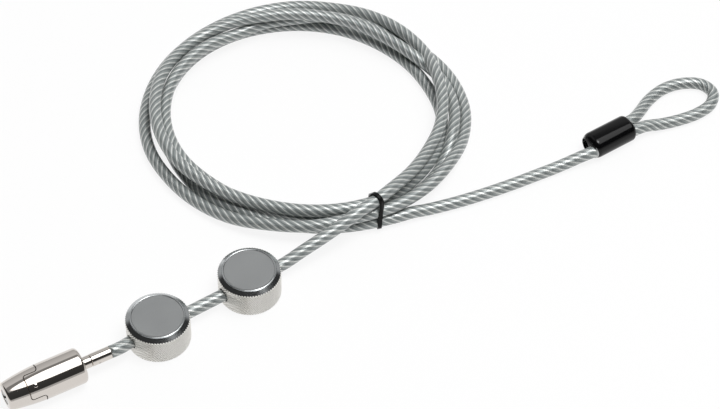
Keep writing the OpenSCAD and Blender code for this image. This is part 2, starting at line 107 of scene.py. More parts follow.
ferrule_end = head_point(-13.6)
route = [ferrule_end, head_point(-16.4), Vector((-19.5, -1.3, 7.8)), Vector((-17, -0.8, 7.3)),
         Vector((-14.5, -0.35, 6.9)), Vector((-11, -0.1, 6.6))]
tie_z = cable_d / 2 + layer[0] * strand_step
for x, y, climb in [(-6, 0, 0), (3, 0, 0), (14, 0, 0), (26, 0, 0), (38, 0, 0), (50, 0, 0), (61, 0, 0),
                    (68, 0, 0.08), (75, 0, 0.25), (83, 0, 0.41), (90, 0.1, 0.55), (98, 0.3, 0.73),
                    (105, 0.6, 0.93), (112, 1.1, 1)]:
    route.append(Vector((x, y, 6.5 + climb * (tie_z - 6.5))))
route += [lead_end - 2.75 * into_coil, lead_end] + [coil_point(k) for k in range(97)]
route += [tail_start, tail_start + 2.75 * out_of_coil]
for x, y, lift in [(140, -6.6, 0.4), (150, -9.2, 0.1), (160, -11.5, 0), (172, -13.8, 0), (184, -15.7, 0),
                   (196, -17.2, 0), (206, -18.5, 0.1), (213, -19.5, 0.7), (219, -20.7, 1.9)]:
    route.append(Vector((x, y, 2.75 + lift)))
route += [Vector((225, -21.85, 5.5)), Vector((238, -21.85, 5.5)), Vector((251, -21.85, 5.5))]
for x, y, lift in [(7, -22.2, 1.9), (15, -24.2, 0.4), (25, -26.8, 0), (35.5, -28.2, 0), (44.3, -26.8, 0),
                   (50, -21.4, 0), (49, -14.1, 0), (41.5, -8.4, 0), (31, -6.3, 0), (20, -8.5, 0.2),
                   (11, -12.8, 1.4), (5, -15.4, 2.5)]:
    route.append(Vector((251 + x, y, 2.75 + lift)))
route += [Vector((251, -15.95, 5.5)), Vector((228, -15.95, 5.5))]
route = [p * mm for p in route]


def smooth_way(points, step):
    """Points every step along a smooth curve through the given ones, and the whole length."""
    ends = [2 * points[0] - points[1]] + points + [2 * points[-1] - points[-2]]
    fine = []
    for a, b, c, d in zip(ends, ends[1:], ends[2:], ends[3:]):
        t1 = (b - a).length ** 0.5
        t2 = t1 + (c - b).length ** 0.5
        t3 = t2 + (d - c).length ** 0.5
        for i in range(24):
            t = t1 + (t2 - t1) * i / 24
            ab = a.lerp(b, t / t1)
            bc = b.lerp(c, (t - t1) / (t2 - t1))
            cd = c.lerp(d, (t - t2) / (t3 - t2))
            abc = ab.lerp(bc, t / t2)
            bcd = bc.lerp(cd, (t - t1) / (t3 - t1))
            fine.append(abc.lerp(bcd, (t - t1) / (t2 - t1)))
    fine.append(points[-1])
    marks = [0.0]
    for a, b in zip(fine, fine[1:]):
        marks.append(marks[-1] + (b - a).length)
    count = round(marks[-1] / step)
    way, k = [], 0
    for i in range(count + 1):
        at = marks[-1] * i / count
        while k < len(marks) - 2 and marks[k + 1] < at:
            k += 1
        way.append(fine[k].lerp(fine[k + 1], (at - marks[k]) / max(marks[k + 1] - marks[k], 1e-12)))
    return way, marks[-1]


cover_r = 2.87 * mm
rope_lay = 25.5 * mm
sides = 20
way, cable_length = smooth_way(route, 1.5 * mm)
verts, aside = [], Vector((0, 1, 0))
for i, p in enumerate(way):
    along = (way[min(i + 1, len(way) - 1)] - way[max(i - 1, 0)]).normalized()
    aside = (aside - along * aside.dot(along)).normalized()
    across = along.cross(aside)
    for k in range(sides):
        turn = 2 * math.pi * k / sides
        verts.append(p + cover_r * (math.cos(turn) * aside + math.sin(turn) * across))
faces = []
for i in range(len(way) - 1):
    for k in range(sides):
        here, there = i * sides, (i + 1) * sides
        faces.append((here + k, here + (k + 1) % sides, there + (k + 1) % sides, there + k))
faces.append(tuple(range(sides - 1, -1, -1)))
faces.append(tuple((len(way) - 1) * sides + k for k in range(sides)))
cable_mesh = bpy.data.meshes.new("cable")
cable_mesh.from_pydata(verts, [], faces)
cable = bpy.data.objects.new("cable", cable_mesh)
bpy.context.scene.collection.objects.link(cable)
# "rope" carries the pattern: 1 round the cable and 1 along it for each lay. "OFBake" lays the cable out
# flat as ten strips side by side, with the two end caps beside them.
strips = 10
rope_map = cable_mesh.uv_layers.new(name="rope")
flat_map = cable_mesh.uv_layers.new(name="OFBake")
per_strip = math.ceil((len(way) - 1) / strips)
step_length = cable_length / (len(way) - 1)
for face in cable_mesh.polygons:
    if len(face.vertices) > 4:
        cap = 0 if face.index == len(faces) - 2 else 1
        for n, loop in enumerate(face.loop_indices):
            turn = 2 * math.pi * n / sides
            rope_map.data[loop].uv = (n / sides, cap * cable_length / rope_lay)
            flat_map.data[loop].uv = (0.988 + 0.008 * math.cos(turn),
                                      0.97 - 0.03 * cap + 0.01 * math.sin(turn))
        continue
    i, k = face.index // sides, face.index % sides
    strip = i // per_strip
    for loop, (di, dk) in zip(face.loop_indices, ((0, 0), (0, 1), (1, 1), (1, 0))):
        rope_map.data[loop].uv = ((k + dk) / sides, (i + di) * step_length / rope_lay)
        flat_map.data[loop].uv = ((strip + 0.03 + 0.94 * (k + dk) / sides) / strips * 0.975,
                                  0.003 + 0.99 * (i + di - strip * per_strip) / per_strip)
cable_mesh.uv_layers.active = rope_map
rope_map.active_render = True
cable_mesh.shade_smooth()


def tint(code):
    """An sRGB hex colour as linear red, green, blue and 1."""
    parts = [int(code[i:i + 2], 16) / 255 for i in (1, 3, 5)]
    return tuple(p / 12.92 if p <= 0.04045 else ((p + 0.055) / 1.055) ** 2.4 for p in parts) + (1.0,)


def add(tree, kind, settings, inputs):
    """Adds one node with its settings; an input takes a socket to link, a hex colour or a value."""
    made = tree.nodes.new("ShaderNode" + kind)
    for name, value in settings.items():
        setattr(made, name, value)
    for name, value in inputs.items():
        socket = made.inputs[name]
        if isinstance(value, bpy.types.NodeSocket):
            tree.links.new(value, socket)
        else:
            socket.default_value = tint(value) if isinstance(value, str) else value
    return made


def new_finish(name):
    """An empty node material and its tree."""
    made = bpy.data.materials.new(name)
    made.use_nodes = True
    made.node_tree.nodes.clear()
    return made, made.node_tree


def calc(tree, operation, *values, clamp=False):
    """The result of one sum on sockets or numbers."""
    made = add(tree, "Math", {"operation": operation, "use_clamp": clamp}, dict(enumerate(values)))
    return made.outputs[0]


def spread(tree, value, low, high, start=0.0, stop=1.0, smooth=False):
    """A value of start to stop spread from low to high, and held there beyond."""
    made = add(tree, "MapRange", {"interpolation_type": "SMOOTHSTEP" if smooth else "LINEAR"},
               {"Value": value, "From Min": start, "From Max": stop, "To Min": low, "To Max": high})
    return made.outputs[0]


def shade(tree, share, first, second):
    """Two colours, mixed by the second one's share."""
    return add(tree, "Mix", {"data_type": "RGBA"}, {0: share, 6: first, 7: second}).outputs[2]


def noise(tree, place, scale, detail):
    """Noise of about so many lumps a metre."""
    return add(tree, "TexNoise", {}, {"Vector": place, "Scale": scale, "Detail": detail}).outputs[0]


def bump(tree, height, strength, depth):
    """Relief in the surface's shading, its depth in millimetres."""
    made = add(tree, "Bump", {}, {"Strength": strength, "Distance": depth * mm, "Height": height})
    return made.outputs[0]


def surface(tree, inputs):
    """The shader and the output, which every finish ends with."""
    shader = add(tree, "BsdfPrincipled", {}, inputs)
    add(tree, "OutputMaterial", {}, {0: shader.outputs[0]})


def give(piece, finish):
    """Puts one finish on a piece."""
    piece.data.materials.clear()
    piece.data.materials.append(finish)


# Clear PVC over galvanised wire rope. The cover works as a lens, so the strands fill its whole width; its
# own surface is smooth and glossy, which is the coat. Six strands show round the cable, each of fine wires,
# with painted shade in the gaps between them and a painted highlight along each.
covered_rope, t = new_finish("clear_pvc_over_galvanised_rope")
uv = add(t, "UVMap", {"uv_map": "rope"}, {})
part = add(t, "SeparateXYZ", {}, {0: uv.outputs[0]})
turns = calc(t, "SUBTRACT", part.outputs[1], part.outputs[0])
six = calc(t, "MULTIPLY", turns, 6.0)
strand = calc(t, "FRACT", six)
side = spread(t, strand, -1.0, 1.0)
square = calc(t, "MULTIPLY", side, side)
crown = calc(t, "SUBTRACT", 1.0, square, clamp=True)
crown = calc(t, "POWER", crown, 0.5)
# a painted highlight along each strand, beside its middle and a little uneven
off = calc(t, "SUBTRACT", side, 0.2)
off = calc(t, "ABSOLUTE", off)
line = spread(t, off, 1.0, 0.0, 0.02, 0.36, smooth=True)
# the wires: four show across a strand, and they lie the other way round it than the strands do
wires = calc(t, "MULTIPLY", strand, 4.0)
turning = calc(t, "MULTIPLY_ADD", part.outputs[1], -9.0, wires)
turning = calc(t, "MULTIPLY", turning, 2 * math.pi)
wire = calc(t, "COSINE", turning)
wire = spread(t, wire, 0.0, 1.0, -1.0, 1.0)
spot = add(t, "TexCoord", {}, {}).outputs["Object"]
# patches of noise that make the painted highlight uneven
highlight_patches = noise(t, spot, 420.0, 3.0)
uneven = calc(t, "MULTIPLY_ADD", wire, 0.22, 0.4)
uneven = calc(t, "MULTIPLY_ADD", highlight_patches, 0.55, uneven)
line = calc(t, "MULTIPLY", line, uneven, clamp=True)
# painted shade: the colour is darker towards the gaps between strands and lighter on their crowns, with the
# wires' pattern over it
body = calc(t, "MULTIPLY_ADD", wire, 0.2, crown, clamp=True)
colour = shade(t, body, "#4c5355", "#959b9a")
# the painted highlight, near white, laid over the strands
colour = shade(t, line, colour, "#eff0ec")
height = calc(t, "MULTIPLY_ADD", wire, 0.1, crown)
relief = bump(t, height, 0.6, 0.3)
surface(t, {"Base Color": colour, "Metallic": 0.35, "Roughness": 0.42, "Normal": relief,
            "Coat Weight": 0.7, "Coat Roughness": 0.18, "Coat IOR": 1.5})
give(cable, covered_rope)
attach(cable, "cable")
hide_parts("cable_lead", "cable_coil", "cable_tail", "cable_eye")

# ---------------------------------------------------------------- anchor pucks
# Two alike. Each shell is turned from zinc, rolled with a slanting knurl, given a bevel and a bead round
# a recess, and plated in satin chrome. The cable's hole goes through it from side to side.
puck_r = 14.3
knurl_teeth = 72
knurl_rows = 42
knurl_low, knurl_high, knurl_deep = 0.4, 13.1, 0.42
knurl_row = (knurl_high - knurl_low) / knurl_rows
bevel_slope = 0.75
cable_hole_r = 3.4
cable_hole_z = 6.6
puck_pitch = 47.3


def turned(name, outline, around):
    """A closed turned piece in millimetres: a disc, extruded and resized along (radius, height) pairs."""
    bpy.ops.object.select_all(action="DESELECT")
    bpy.ops.mesh.primitive_circle_add(vertices=around, radius=outline[0][0], fill_type="NGON",
                                      location=(0, 0, outline[0][1]))
    made = bpy.context.object
    made.name = made.data.name = name
    bpy.ops.object.mode_set(mode="EDIT")
    bpy.ops.mesh.select_all(action="SELECT")
    for (r0, z0), (r1, z1) in zip(outline, outline[1:]):
        bpy.ops.mesh.extrude_region_move(TRANSFORM_OT_translate={"value": (0, 0, z1 - z0)})
        bpy.ops.transform.resize(value=(r1 / r0, r1 / r0, 1))
    bpy.ops.mesh.select_all(action="SELECT")
    bpy.ops.mesh.normals_make_consistent(inside=False)
    bpy.ops.object.mode_set(mode="OBJECT")
    bpy.ops.object.transform_apply(location=True, rotation=True, scale=True)
    return made


def swing(cx, cy, rx, ry, start, stop, count):
    """Points along a piece of an ellipse, from one angle to the other."""
    turns = [math.radians(start + (stop - start) * i / count) for i in range(count + 1)]
    return [(cx + rx * math.cos(a), cy + ry * math.sin(a)) for a in turns]


def cut(piece, tool, kind="DIFFERENCE"):
    """Cuts a piece with a tool, or keeps what the two share, and throws the tool away."""
    bpy.ops.object.select_all(action="DESELECT")
    bpy.context.view_layer.objects.active = piece
    step = piece.modifiers.new("cut", "BOOLEAN")
    step.operation = kind
    step.solver = "EXACT"
    step.object = tool
    bpy.ops.object.modifier_apply(modifier="cut")
    bpy.data.objects.remove(tool)


def settle(piece, place, body, replaced):
    """Brings a finished piece from millimetres to its place, hangs it on the body it rides on, and hides
    the node it stands for.
    """
    piece.data.transform(place @ Matrix.Diagonal((mm, mm, mm, 1)))
    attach(piece, body)
    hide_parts(replaced)


def soften(piece, degrees):
    """Smooth shading up to an edge of so many degrees."""
    bpy.ops.object.select_all(action="DESELECT")
    piece.select_set(True)
    bpy.context.view_layer.objects.active = piece
    bpy.ops.object.shade_smooth_by_angle(angle=math.radians(degrees))


recess = [(11.4, 13.15), (11.4, 14.7)]
bead = swing(11.77, 14.7, 0.37, 0.25, 180, 0, 12)[1:] + [(12.2, 14.5), (12.32, 14.58)]
side_rows = [(puck_r, knurl_high - i * knurl_row) for i in range(knurl_rows + 1)]
shell = turned("front_puck_shell", recess + bead + side_rows
               + [(puck_r - 0.3, 0.1), (11.95, 0.1), (11.95, 11.05)], 4 * knurl_teeth)
# the knurl's grooves climb to the right, four columns of vertices to each
form = bmesh.new()
form.from_mesh(shell.data)
for v in [v for v in form.verts if abs(math.hypot(v.co.x, v.co.y) - puck_r) < 0.01]:
    i = round(math.atan2(v.co.y, v.co.x) * 2 * knurl_teeth / math.pi)
    j = round((v.co.z - knurl_low) / knurl_row)
    deep = knurl_deep * (0, 0.5, 1, 0.5)[(i - j) % 4]
    if j == knurl_rows:
        v.co.z += deep * bevel_slope
    v.co.x *= 1 - deep / puck_r
    v.co.y *= 1 - deep / puck_r
form.to_mesh(shell.data)
form.free()
bpy.ops.object.select_all(action="DESELECT")
bpy.ops.mesh.primitive_cylinder_add(vertices=64, radius=cable_hole_r, depth=40,
                                    location=(0, 0, cable_hole_z), rotation=(0, math.pi / 2, 0))
cut(shell, bpy.context.object)

# Satin chrome on the rolled knurl: pale, a little warm, with fine grain, and painted shade that darkens it
# at the roots and on the underside.
knurled, t = new_finish("satin_chrome_rolled_knurl")
spot = add(t, "TexCoord", {}, {}).outputs["Object"]
grain = noise(t, spot, 4200.0, 2.0)
cloud = noise(t, spot, 160.0, 2.0)
rough = spread(t, grain, 0.24, 0.36)
colour = shade(t, cloud, "#f6f4ee", "#fcfaf5")
# painted shade: darker at the knurl's roots and on the underside, by distance from each puck's own axis
# wrapped at half the distance between the pucks, x is measured from each one's own axis
part = add(t, "SeparateXYZ", {}, {0: spot})
own_x = calc(t, "WRAP", part.outputs[0], puck_pitch / 2 * mm, -puck_pitch / 2 * mm)
level = add(t, "CombineXYZ", {}, {0: own_x, 1: part.outputs[1]})
out = add(t, "VectorMath", {"operation": "LENGTH"}, {0: level.outputs[0]})
unshaded_knurl_tops = spread(t, out.outputs["Value"], 0.0, 1.0, (puck_r - knurl_deep) * mm,
               (puck_r - 0.55 * knurl_deep) * mm)
# the painted shade's dark colour under the chrome's own
colour = shade(t, unshaded_knurl_tops, "#6f6d69", colour)
relief = bump(t, grain, 0.25, 0.02)
surface(t, {"Base Color": colour, "Metallic": 1.0, "Roughness": rough, "Normal": relief})


def turning_marks(tree, along, scale, detail):
    """Noise along one axis only, as a turning tool leaves it."""
    return add(tree, "TexNoise", {"noise_dimensions": "1D"},
               {"W": along, "Scale": scale, "Detail": detail}).outputs[0]


# Bright chrome on the bevel and bead, over fine turning marks that only just show.
bright, t = new_finish("bright_chrome_turned_bevel")
spot = add(t, "TexCoord", {}, {}).outputs["Object"]
part = add(t, "SeparateXYZ", {}, {0: spot})
haze = noise(t, spot, 500.0, 3.0)
rough = spread(t, haze, 0.1, 0.2)
marks = turning_marks(t, part.outputs[2], 6500.0, 1.0)
relief = bump(t, marks, 0.12, 0.01)
surface(t, {"Base Color": "#b9bcbd", "Metallic": 1.0, "Roughness": rough, "Normal": relief})

shell.data.materials.append(knurled)
shell.data.materials.append(bright)
for face in shell.data.polygons:
    face.material_index = 1 if face.center.z > knurl_high + 0.3 else 0
soften(shell, 25)
rear_shell = shell.copy()
rear_shell.data = shell.data.copy()
rear_shell.name = rear_shell.data.name = "rear_puck_shell"
bpy.context.scene.collection.objects.link(rear_shell)
settle(shell, Matrix.Identity(4), "front_puck", "front_shell")
settle(rear_shell, Matrix.Translation((puck_pitch * mm, 0, 0)), "rear_puck", "rear_shell")

# The disc in the recess: aluminium, glass-blasted and anodised mid grey, pressed in bare.
disc, t = new_finish("blasted_grey_anodised_aluminium")
spot = add(t, "TexCoord", {}, {}).outputs["Object"]
grit = noise(t, spot, 5200.0, 2.0)
cloud = noise(t, spot, 90.0, 2.0)
mottle = spread(t, grit, 0.0, 0.5, 0.3, 0.7)
mottle = calc(t, "MULTIPLY_ADD", cloud, 0.5, mottle)
colour = shade(t, mottle, "#898b8c", "#969898")
rough = spread(t, cloud, 0.4, 0.5)
relief = bump(t, grit, 0.4, 0.02)
surface(t, {"Base Color": colour, "Metallic": 0.6, "Roughness": rough, "Normal": relief})

# The core: black-brown glass-filled nylon, moulded, with the cable's bore and the screws' threads in it.
moulded, t = new_finish("glass_filled_nylon")
spot = add(t, "TexCoord", {}, {}).outputs["Object"]
fibre = noise(t, spot, 1500.0, 4.0)
colour = shade(t, fibre, "#1f1f20", "#2f2f30")
rough = spread(t, fibre, 0.45, 0.65)
relief = bump(t, fibre, 0.3, 0.03)
surface(t, {"Base Color": colour, "Roughness": rough, "Normal": relief})

# The foot: moulded rubber, matt and nearly black, with a fine spark-eroded grain and a little bloom.
rubber, t = new_finish("moulded_rubber")
spot = add(t, "TexCoord", {}, {}).outputs["Object"]
grain = add(t, "TexVoronoi", {}, {"Vector": spot, "Scale": 2600.0}).outputs[0]
bloom = noise(t, spot, 220.0, 4.0)
colour = shade(t, bloom, "#161616", "#2a2a29")
relief = bump(t, grain, 0.5, 0.04)
surface(t, {"Base Color": colour, "Roughness": 0.8, "Normal": relief})

# The base plate and its screws: steel, zinc plated, turned bright, with tool marks.
steel, t = new_finish("zinc_plated_turned_steel")
spot = add(t, "TexCoord", {}, {}).outputs["Object"]
part = add(t, "SeparateXYZ", {}, {0: spot})
cloud = noise(t, spot, 420.0, 3.0)
marks = turning_marks(t, part.outputs[0], 5200.0, 2.0)
colour = shade(t, cloud, "#b9bab8", "#cfd0cd")
rough = spread(t, cloud, 0.2, 0.36)
relief = bump(t, marks, 0.25, 0.015)
surface(t, {"Base Color": colour, "Metallic": 1.0, "Roughness": rough, "Normal": relief})
for end, at in (("front_", 0.0), ("rear_", puck_pitch * mm)):
    plate = turned(end + "puck_disc", [(11.3, 13.2), (11.36, 13.26), (11.36, 14.8), (11.3, 14.86)], 160)
    plate.data.materials.append(disc)
    soften(plate, 30)
    settle(plate, Matrix.Translation((at, 0, 0)), end + "puck", end + "disc")
    give(nodes[end + "core"], moulded)
    give(nodes[end + "foot"], rubber)
    give(nodes[end + "base"], steel)
    give(nodes[end + "screws"], steel)

# ---------------------------------------------------------------- lock head
# A barrel of die-cast zinc in two halves, polished and chrome plated: the body's two tongues reach into the
# nose, whose two ears reach back between them. Both are turned as one, grooved at the seam, and parted.
head_r, nose_r = 8.15, 6.4
straight, taper_end = 16, 34.7
end_round, nose_round = 1.8, 1.3
drop, run = head_r - nose_r, taper_end - straight
ogive_r = (run * run + drop * drop) / (2 * drop)
ear_x, tongue_x, tongue_half = 19.7, 26.6, 5.5
ear_corner, tongue_corner = 1.5, 1.2
seam_gap = 0.1
pin_x, pin_r = 23.1, 1.05


def head_radius(x):
    """The head's outside radius between its two rounded ends."""
    past = max(0.0, x - straight)
    return head_r - ogive_r + math.sqrt(ogive_r * ogive_r - past * past)


def seam(gap):
    """The seam seen along the cross pin, from one side to the other, moved towards the nose by gap."""
    ear, half, tongue = ear_x + gap, tongue_half + gap, tongue_x + gap
    e, c = ear_corner, tongue_corner
    return (swing(ear + e, -half - e, e, e, 180, 90, 8) + swing(tongue - c, -half + c, c, c, -90, 0, 8)
            + swing(tongue - c, half - c, c, c, 0, 90, 8) + swing(ear + e, half + e, e, e, 270, 180, 8))


def block(name, corners, low, high):
    """An upright block over a flat outline."""
    bpy.ops.object.select_all(action="DESELECT")
    shape = bpy.data.meshes.new(name)
    shape.from_pydata([(x, y, low) for x, y in corners], [], [tuple(range(len(corners)))])
    made = bpy.data.objects.new(name, shape)
    bpy.context.scene.collection.objects.link(made)
    bpy.context.view_layer.objects.active = made
    made.select_set(True)
    bpy.ops.object.mode_set(mode="EDIT")
    bpy.ops.mesh.select_all(action="SELECT")
    bpy.ops.mesh.extrude_region_move(TRANSFORM_OT_translate={"value": (0, 0, high - low)})
    bpy.ops.mesh.select_all(action="SELECT")
    bpy.ops.mesh.normals_make_consistent(inside=False)
    bpy.ops.object.mode_set(mode="OBJECT")
    return made


def bar(radius, x0, x1, sides=96):
    """A round bar along X, to bore with."""
    bpy.ops.object.select_all(action="DESELECT")
    bpy.ops.mesh.primitive_cylinder_add(vertices=sides, radius=radius, depth=x1 - x0,
                                        location=((x0 + x1) / 2, 0, 0), rotation=(0, math.pi / 2, 0))
    return bpy.context.object


barrel = turned("barrel", swing(head_r - end_round, end_round, end_round, end_round, -90, 0, 14)
                + [(head_radius(straight * i / 5), straight * i / 5) for i in range(1, 5)]
                + [(head_radius(straight + run * i / 24), straight + run * i / 24) for i in range(25)]
                + swing(nose_r - nose_round, taper_end, nose_round, nose_round, 15, 90, 12), 144)
barrel.data.transform(Matrix.Rotation(math.pi / 2, 4, "Y"))
# the groove follows the seam over the surface, round one side and back round the other
near = []
flat = seam(seam_gap / 2)
for (x0, y0), (x1, y1) in zip(flat, flat[1:]):
    pieces = max(1, round(math.hypot(x1 - x0, y1 - y0) / 0.5))
    near += [(x0 + (x1 - x0) * i / pieces, y0 + (y1 - y0) * i / pieces) for i in range(pieces)]
near.append(flat[-1])
loop = [(x, y, math.sqrt(head_radius(x) ** 2 - y * y)) for x, y in near]
edge_turn = math.atan2(loop[0][2], -loop[0][1])
reach = head_radius(ear_x)
over = [(ear_x + seam_gap / 2, reach * math.cos(a), reach * math.sin(a))
        for a in [edge_turn - 2 * edge_turn * i / 14 for i in range(1, 14)]]
loop += over + [(x, y, -z) for x, y, z in reversed(loop)] + [(x, -y, -z) for x, y, z in over]
wire_curve = bpy.data.curves.new("seam_groove", "CURVE")
wire_curve.dimensions = "3D"
wire_curve.bevel_depth = 0.24
wire_curve.bevel_resolution = 2
line = wire_curve.splines.new("POLY")
line.points.add(len(loop) - 1)
for point, place in zip(line.points, loop):
    point.co = place + (1,)
line.use_cyclic_u = True
groove = bpy.data.objects.new("seam_groove", wire_curve)
bpy.context.scene.collection.objects.link(groove)
bpy.ops.object.select_all(action="DESELECT")
groove.select_set(True)
bpy.context.view_layer.objects.active = groove
bpy.ops.object.convert(target="MESH")
groove = bpy.context.object
cut(barrel, groove)
nose = barrel.copy()
nose.data = barrel.data.copy()
bpy.context.scene.collection.objects.link(nose)
barrel.name = barrel.data.name = "lock_head_body"
nose.name = nose.data.name = "lock_head_nose"
behind = [(-1, -10), (ear_x, -10)] + seam(0) + [(ear_x, 10), (-1, 10)]
ahead = [(ear_x + seam_gap, -10)] + seam(seam_gap) + [(ear_x + seam_gap, 10), (37, 10), (37, -10)]
cut(barrel, block("keep", behind, -10, 10), "INTERSECT")
cut(nose, block("keep", ahead, -10, 10), "INTERSECT")
# bores, each by its radius and its two ends: the lock's room and the stud's hole, then the lock's room, the
# plug's shoulder and the plug's face
for half, radius, x0, x1 in ((barrel, 6.4, 2.5, 37), (barrel, 2.85, -1, 3),
                             (nose, 6.4, 2.5, 27.8), (nose, 5.25, 2.5, 31.05), (nose, 3.5, 2.5, 37)):
    cut(half, bar(radius, x0, x1))
bpy.ops.object.select_all(action="DESELECT")
bpy.ops.mesh.primitive_cylinder_add(vertices=48, radius=pin_r + 0.02, depth=8, location=(pin_x, 0, 8))
cut(barrel, bpy.context.object)

# Decorative chrome over polished nickel: mirror bright and a little warm, with the faint haze of handling
# and a few hairline scratches.
chrome, t = new_finish("polished_chrome_plate")
spot = add(t, "TexCoord", {}, {}).outputs["Object"]
haze = noise(t, spot, 260.0, 3.0)
stretch = add(t, "Mapping", {}, {"Vector": spot, "Scale": (300.0, 9000.0, 9000.0)})
hair = noise(t, stretch.outputs[0], 1.0, 1.0)
hair = spread(t, hair, 0.0, 1.0, 0.62, 0.8)
rough = spread(t, haze, 0.035, 0.085)
rough = calc(t, "MULTIPLY_ADD", hair, 0.05, rough)
surface(t, {"Base Color": "#d3cdc7", "Metallic": 1.0, "Roughness": rough})

# Painted shade in the seam's groove: a dark, matt finish with some mottle.
seam_shade, t = new_finish("painted_shade_in_the_seam")
spot = add(t, "TexCoord", {}, {}).outputs["Object"]
seam_mottle = noise(t, spot, 1200.0, 3.0)
colour = shade(t, seam_mottle, "#2f2b28", "#5a544e")
rough = spread(t, seam_mottle, 0.4, 0.6)
surface(t, {"Base Color": colour, "Metallic": 0.5, "Roughness": rough})

at_head = (Matrix.Translation(head_at * mm) @ Matrix.Rotation(math.pi - head_yaw, 4, "Z")
           @ Matrix.Rotation(math.radians(-40), 4, "X"))


def plate_over(piece):
    """Gives the outside its exact turned normals, so that the cuts don't show in the reflections."""
    shape = piece.data
    shape.materials.append(chrome)
    shape.materials.append(seam_shade)
    normals = [None] * len(shape.loops)
    for face in shape.polygons:
        face.use_smooth = True
        out = face.center.copy()
        out.x = 0
        depth = head_radius(max(0.0, face.center.x)) - out.length
        grooved = True
        for at in face.loop_indices:
            p = shape.vertices[shape.loops[at].vertex_index].co
            spoke = Vector((0, p.y, p.z))
            true = None
            if spoke.length > 1e-6:
                spoke.normalize()
                if p.x < end_round:
                    lean = math.hypot(p.y, p.z) - (head_r - end_round)
                    true = Vector((p.x - end_round, 0, 0)) + spoke * max(lean, 0)
                elif p.x > taper_end + 0.33:
                    lean = math.hypot(p.y, p.z) - (nose_r - nose_round)
                    true = Vector((p.x - taper_end, 0, 0)) + spoke * max(lean, 0)
                else:
                    past = max(0.0, p.x - straight)
                    true = spoke * math.sqrt(ogive_r * ogive_r - past * past) + Vector((past, 0, 0))
                true.normalize()
            if true is not None and true.dot(face.normal) > 0.96:
                normals[at] = true
                grooved = False
            else:
                normals[at] = face.normal.copy()
        # the groove's faces get the painted seam shade
        if grooved and -0.05 < depth < 0.25 and ear_x - 0.5 < face.center.x < tongue_x + 0.5:
            face.material_index = 1
    shape.normals_split_custom_set(normals)


plate_over(barrel)
plate_over(nose)
settle(barrel, at_head, "head", "head_body")
settle(nose, at_head, "head", "head_nose")

# The cross pin: steel, domed and plated with the body, it holds the lock's barrel.
pin_dome = swing(0, 7.65, pin_r, 0.36, 0, 84, 8)
pin = turned("cross_pin_domed", [(pin_r, 4.5), (pin_r, 7.65)] + pin_dome[1:], 48)
pin.data.transform(Matrix.Translation((pin_x, 0, 0)))
pin.data.materials.append(chrome)
soften(pin, 35)
settle(pin, at_head, "head", "cross_pin")

# Inside: the barrel and wafers are free-cutting brass, the plug, cam, bush and balls hardened steel.
brass, t = new_finish("turned_brass")
spot = add(t, "TexCoord", {}, {}).outputs["Object"]
part = add(t, "SeparateXYZ", {}, {0: spot})
cloud = noise(t, spot, 300.0, 3.0)
marks = turning_marks(t, part.outputs[0], 5200.0, 2.0)
colour = shade(t, cloud, "#c29c55", "#d9b86e")
rough = spread(t, cloud, 0.2, 0.35)
relief = bump(t, marks, 0.3, 0.015)
surface(t, {"Base Color": colour, "Metallic": 1.0, "Roughness": rough, "Normal": relief})
hardened, t = new_finish("ground_hardened_steel")
spot = add(t, "TexCoord", {}, {}).outputs["Object"]
cloud = noise(t, spot, 350.0, 3.0)
grit = noise(t, spot, 6000.0, 2.0)
colour = shade(t, cloud, "#a3a3a1", "#bcbcb9")
rough = spread(t, cloud, 0.18, 0.32)
relief = bump(t, grit, 0.2, 0.01)
surface(t, {"Base Color": colour, "Metallic": 1.0, "Roughness": rough, "Normal": relief})
for name in ("lock_barrel", "wafers"):
    give(nodes[name], brass)
for name in ("rear_bush", "lock_cam", "key_plug", "latch_ball_near", "latch_ball_far"):
    give(nodes[name], hardened)

# ---------------------------------------------------------------- swivel plug and ferrule
# The plug's stud goes into the head and its collar shows behind it; the ferrule is turned, chromed and
# pressed onto the bare rope. A bronze ring keeps the plug's button in the ferrule.
bronze, t = new_finish("sintered_bronze")
spot = add(t, "TexCoord", {}, {}).outputs["Object"]
pores = add(t, "TexVoronoi", {}, {"Vector": spot, "Scale": 3000.0}).outputs[0]
cloud = noise(t, spot, 500.0, 3.0)
colour = shade(t, cloud, "#93683a", "#b98a52")
relief = bump(t, pores, 0.4, 0.03)
surface(t, {"Base Color": colour, "Metallic": 1.0, "Roughness": 0.38, "Normal": relief})
bare, t = new_finish("bare_galvanised_wire")
spot = add(t, "TexCoord", {}, {}).outputs["Object"]
part = add(t, "Mapping", {}, {"Vector": spot, "Scale": (500.0, 4200.0, 4200.0)})
wires = noise(t, part.outputs[0], 1.0, 2.0)
colour = shade(t, wires, "#7c7f7e", "#c9cbc8")
relief = bump(t, wires, 0.6, 0.08)
surface(t, {"Base Color": colour, "Metallic": 1.0, "Roughness": 0.4, "Normal": relief})
give(nodes["plug_pin"], chrome)
give(nodes["ferrule"], chrome)
give(nodes["swivel_ring"], bronze)
give(nodes["rope_stub"], bare)

# ---------------------------------------------------------------- eye
# The cable's end is turned back and pressed in an aluminium crimp, under a glossy black moulded sleeve.
pressed, t = new_finish("pressed_aluminium")
spot = add(t, "TexCoord", {}, {}).outputs["Object"]
cloud = noise(t, spot, 350.0, 4.0)
colour = shade(t, cloud, "#a7a8a8", "#c3c4c3")
rough = spread(t, cloud, 0.32, 0.5)
relief = bump(t, cloud, 0.4, 0.06)
surface(t, {"Base Color": colour, "Metallic": 1.0, "Roughness": rough, "Normal": relief})
give(nodes["eye_crimp"], pressed)
sleeve_at = (225.4, -18.9, 5.75)
sleeve_size = (24.9, 13.3, 11.5)
leg_r = 2.95
bpy.ops.object.select_all(action="DESELECT")
bpy.ops.mesh.primitive_cube_add(size=1, location=(sleeve_size[0] / 2, 0, 0), scale=sleeve_size)
sleeve = bpy.context.object
sleeve.name = sleeve.data.name = "eye_sleeve_moulded"
bpy.ops.object.transform_apply(location=True, rotation=True, scale=True)
